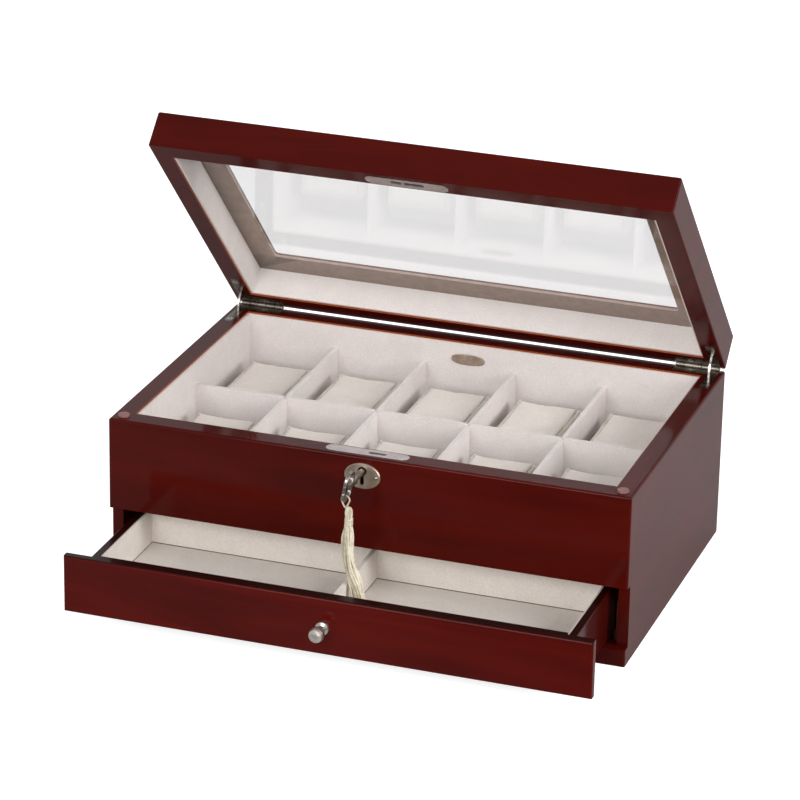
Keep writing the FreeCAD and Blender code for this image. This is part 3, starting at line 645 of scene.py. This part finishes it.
# Painted shade and light: the seam's cloth is a darker cream for the pressed seam, the welt's a lighter cream
# for the raised cord.
seam_painted_shade = velour("pillow_seam", (0.40, 0.345, 0.285), (0.54, 0.475, 0.405), **pile)
welt_painted_light = velour("pillow_welt", (0.70, 0.64, 0.57), (0.88, 0.82, 0.74), **pile)
seam_steps = ((5.9, 0.0), (5.5, -0.1), (5.15, -0.35), (4.9, -0.4), (4.6, 0.05), (4.2, 0.7), (3.7, 1.1),
              (3.2, 1.25), (2.7, 1.15), (2.2, 0.9), (1.6, 0.4))
welt_from, seam_from, seam_to = 1.6, 4.65, 5.25


def sew(form, side):
    """Cut rings near one end, press the seam in, raise the welt beside it, and give the seam painted shade
    and the welt painted light.
    """
    for inward, lift in seam_steps:
        at = side * (wide / 2 - inward * mm)
        cut = bmesh.ops.bisect_plane(form, geom=form.verts[:] + form.edges[:] + form.faces[:],
                                     plane_co=(at, 0, 0), plane_no=(1, 0, 0), dist=1e-6)
        ring = [g for g in cut["geom_cut"] if isinstance(g, bmesh.types.BMVert)]
        form.normal_update()
        for vertex in ring:
            away = Vector((0, vertex.normal.y, vertex.normal.z))
            vertex.co += away * lift * mm
    for face in form.faces:
        inward = (wide / 2 - side * face.calc_center_median().x) / mm
        if seam_from < inward < seam_to:
            face.material_index = 1
        elif welt_from < inward <= seam_from:
            face.material_index = 2


print("rings round each end:", len(seam_steps))

# %% [markdown]
# ## Ten pillows
# Copies of one pillow would look like copies. So each one gets its own soft dents from two sizes
# of noise, and lies turned by a fraction of a degree. Its underside is pressed flat where it rests
# on the tray, and no point leaves the cushion's space.

# %% Pillows
seam_room = 0.35 * mm
dents = ((70, 0.35), (190, 0.12))
rest_height = 0.05 * mm
most_turn = 0.6


def pillow(name, number):
    form = bmesh.new()
    form.from_mesh(pillow_form)
    for axis, half in enumerate(half_size):
        scale = [1.0, 1.0, 1.0]
        scale[axis] = (half - seam_room) / (reach[axis] * mm)
        bmesh.ops.scale(form, vec=scale, verts=form.verts)
    for side in (-1, 1):
        sew(form, side)
    random.seed(number)
    shift = Vector((random.uniform(0, 9), random.uniform(0, 9), number))
    form.normal_update()
    for vertex in form.verts:
        soft = sum(noise.noise(vertex.co * close + shift) * depth for close, depth in dents)
        vertex.co += vertex.normal * soft * mm
        vertex.co.z = max(vertex.co.z, -tall / 2 + rest_height)
        for axis, half in enumerate(half_size):
            vertex.co[axis] = min(half, max(-half, vertex.co[axis]))
    low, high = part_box(name)
    slight = Matrix.Rotation(math.radians(random.uniform(-most_turn, most_turn)), 3, "Z")
    bmesh.ops.rotate(form, verts=form.verts, cent=(0, 0, 0), matrix=slight)
    bmesh.ops.translate(form, verts=form.verts, vec=(low + high) / 2)
    mesh = as_mesh(name + "_cover", form)
    mesh.shade_smooth()
    return mesh


for number in range(1, 11):
    name = "pillow_%02d" % number
    obj = as_object(name + "_cover", pillow(name, number), pillow_cloth, seam_painted_shade, welt_painted_light)
    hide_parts(name)
    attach(obj, name)
print("pillows:", number, "faces each:", len(obj.data.polygons))

# %% [markdown]
# ## Yarn
# The tassel is made of cut yarns. Hair curves would be quick, but they are no solid form. So each
# yarn is a smooth curve with a round section, turned into a mesh. The lists of points are in
# millimetres.


# %% Yarn helper
def spun(name, lines, thick, steps, tip=1.0):
    """One object of round yarns, each along its own list of points."""
    curve = bpy.data.curves.new(name, "CURVE")
    curve.dimensions = "3D"
    curve.bevel_depth = thick * mm
    curve.bevel_resolution = 2
    curve.use_fill_caps = True
    curve.resolution_u = steps
    for points in lines:
        line = curve.splines.new("NURBS")
        line.points.add(len(points) - 1)
        for point, place in zip(line.points, points):
            point.co = (*[v * mm for v in place], 1)
        line.points[len(points) - 1].radius = tip
        line.order_u = 4
        line.use_endpoint_u = True
    holder = bpy.data.objects.new(name, curve)
    bpy.context.scene.collection.objects.link(holder)
    mesh = bpy.data.meshes.new_from_object(holder.evaluated_get(bpy.context.evaluated_depsgraph_get()))
    bpy.data.objects.remove(holder)
    mesh.materials.clear()
    mesh.shade_smooth()
    return as_object(name, mesh, ivory)


print("yarn helper:", spun.__name__)

# %% [markdown]
# ## The tassel's head
# The yarns are folded over the cord, so they leave the crown on all sides, and a thread is wound
# round them to make the neck. A knot ties the head to the cord that hangs in the key's bow. The
# folded yarns follow one profile of heights and radii, placed round the crown.

# %% Crown, wraps and knot
head_low, head_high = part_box("tassel_head")
cord_low, cord_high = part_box("tassel_cord")
crown = [v / mm for v in ((head_low.x + head_high.x) / 2, (head_low.y + head_high.y) / 2, head_high.z)]
tie = [v / mm for v in ((cord_low.x + cord_high.x) / 2, (cord_low.y + cord_high.y) / 2, cord_low.z)]
profile = ((0.0, 0.2), (-0.35, 1.1), (-1.6, 1.8), (-3.6, 2.05), (-5.6, 1.95), (-7.4, 1.7), (-9.0, 1.75),
           (-11.0, 1.95), (-13.4, 2.0))
folded, slant = 11, 0.05
neck_r, neck_down, knot_r = 2.6, 7.4, 0.95


def round_about(centre, radius, angle, down):
    return (centre[0] + radius * math.cos(angle), centre[1] + radius * math.sin(angle), centre[2] + down)


starts = [2 * math.pi * i / folded for i in range(folded)]
lines = [[round_about(crown, radius, start + slant * down, down) for down, radius in profile]
         for start in starts]
wraps = [round_about(crown, neck_r, 0.7 * t, -neck_down - 0.12 * t) for t in range(42)]
knot = [round_about((tie[0] + (crown[0] - tie[0]) * t / 20, tie[1] + (crown[1] - tie[1]) * t / 20, tie[2]),
                    knot_r, 0.85 * t, 1.0 - 0.05 * t) for t in range(21)]
head = spun("tassel_crown", lines, 0.62, 3)
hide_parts("tassel_head")
wrap = spun("tassel_wrap", [wraps, knot], 0.42, 3)
for piece in (head, wrap):
    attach(piece, "tassel")
print("head strands:", len(lines))

# %% [markdown]
# ## The tassel's skirt
# Below the neck the yarns swell a little and drape over the edge of the open drawer's divider. The
# bundle has a middle line with a width and a depth at each height. Each yarn keeps its own place
# in the bundle as it follows that line, with a small wave and a cut end of its own.

# %% Yarns
skirt_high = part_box("tassel_skirt")[1]
skirt_x = 0.3 * mm
skirt_y = (-29.1 - 115.75) * mm
middle_line = ((0.0, 0.0, 0.0, 2.3, 2.3), (4.6, -0.2, -0.3, 3.4, 2.7), (9.0, -0.3, -0.6, 3.8, 2.9),
               (20.5, 0.3, -1.4, 3.6, 2.8), (27.0, 1.7, -2.2, 3.8, 2.7), (33.0, 4.6, -3.4, 4.1, 2.5),
               (38.0, 7.2, -4.7, 4.3, 2.3), (47.5, 9.3, -6.4, 5.1, 2.1), (56.0, 10.5, -7.8, 5.7, 2.0))
yarn_r, yarn_count = 0.74, 28
next_place = 2.39996
twist = 0.012


def yarn(i):
    out = math.sqrt((i + 0.5) / yarn_count)
    wave = random.uniform(0, 6.28)
    swing = random.uniform(0.3, 1.0)
    cut = random.uniform(-1.6, 0.0)
    points = []
    for down, dx, dy, a, b in middle_line:
        spin = i * next_place + twist * down
        end = cut if down == middle_line[-1][0] else 0
        points.append((skirt_x / mm + dx + a * out * math.cos(spin) + swing * math.sin(wave + 0.23 * down),
                       skirt_y / mm + dy + b * out * math.sin(spin) + swing * math.cos(wave + 0.19 * down),
                       skirt_high.z / mm - (down + end)))
    return points


random.seed(7)
skirt = spun("tassel_yarns", [yarn(i) for i in range(yarn_count)], yarn_r, 4, tip=0.8)
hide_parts("tassel_skirt")
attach(skirt, "tassel")
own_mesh(skirt)
print("yarn faces:", len(skirt.data.polygons))

# %% [markdown]
# ## The studio floor
# The box stands on white paper. More light would whiten the paper but also wash out the box. So
# the paper is fully white only to the camera and through glass. To the lamps it is a pale grey.
# What the lacquer mirrors of it is painted dark towards the front right: a painted reflection that
# does what a black card set up there would do, and deepens the colour of the wood.

# %% Floor
form = bmesh.new()
bmesh.ops.create_grid(form, x_segments=1, y_segments=1, size=6.0)
paper = Finish("floor_paper")
paper_grey, paper_white = (0.62, 0.62, 0.62), (0.85, 0.85, 0.85, 1)
floor = as_object("studio_floor", as_mesh("studio_floor", form), paper.material)
dark_reflection_y, mirrored_y = -0.19, -0.1

path = paper.add("ShaderNodeLightPath").outputs
seen = paper.math("MAXIMUM", path["Is Camera Ray"], path["Is Transmission Ray"])
x, y, z = paper.axes(paper.place)
# Painted reflection: towards the front right, the lacquer sees the floor dark.
slanting = paper.math("ADD", x, paper.math("MULTIPLY", paper.math("SUBTRACT", dark_reflection_y, y), 2.0))
painted_dark_reflection = paper.ramp(slanting, (0.06, paper_grey), (0.36, (0.05, 0.05, 0.05)))
mirrored = paper.math("MULTIPLY", path["Is Glossy Ray"], paper.math("LESS_THAN", y, mirrored_y))
in_lacquer = paper.mix(mirrored, (*paper_grey, 1), painted_dark_reflection)
glow = paper.math("MAXIMUM", paper.math("MULTIPLY", path["Is Camera Ray"], 0.75),
                  paper.math("MULTIPLY", seen, 0.45))
paper.set(Base_Color=paper.mix(seen, in_lacquer, paper_white), Roughness=0.9, Specular_IOR_Level=0.0,
          Emission_Color=(1, 1, 1, 1), Emission_Strength=glow)
print("floor:", floor.name)

# %% [markdown]
# ## The air of the studio
# A wide white room lights the box from all sides. Above the horizon it gets darker, as a room does
# away from its lamps, which leaves soft gradients in the lacquer. The camera sees plain white.

# %% World
world = bpy.data.worlds.new("studio")
bpy.context.scene.world = world
world.use_nodes = True
air = Web(world.node_tree)
path = air.add("ShaderNodeLightPath").outputs
seen = air.math("MAXIMUM", path["Is Camera Ray"], path["Is Transmission Ray"])
sky = air.add("ShaderNodeSeparateXYZ", {"Vector": air.add("ShaderNodeTexCoord").outputs["Generated"]}).outputs
fade = air.add("ShaderNodeMapRange", {"Value": sky["Z"], "From Min": 0.0, "From Max": 0.8,
                                      "To Min": 0.85, "To Max": 0.38}).outputs["Result"]
air.put(world.node_tree.nodes["Background"].inputs["Color"], air.mix(seen, fade, (1, 1, 1, 1)))
print("world:", world.name)

# %% [markdown]
# ## Lamps
# Two large softboxes do the rest: one in front, high and a little to the left, and one at the
# right that lifts the side of the box. Large lamps give soft shadows and broad, calm reflections,
# where a bare bulb would leave a hard spot in the lacquer.


# %% Lamps
def softbox(name, at, wide, tall, power, aim=(0, 0, 0.1)):
    light = bpy.data.lights.new(name, "AREA")
    light.shape = "RECTANGLE"
    light.size = wide
    light.size_y = tall
    light.energy = power
    obj = bpy.data.objects.new(name, light)
    bpy.context.scene.collection.objects.link(obj)
    direction = Vector(aim) - Vector(at)
    obj.matrix_world = Matrix.Translation(at) @ direction.to_track_quat("-Z", "Y").to_matrix().to_4x4()


softbox("key_softbox", (-0.2, -2.6, 1.3), 1.6, 1.2, 40)
softbox("fill_softbox", (2.5, -0.6, 1.3), 1.4, 1.4, 52)
print("lamps:", len(bpy.data.lights))
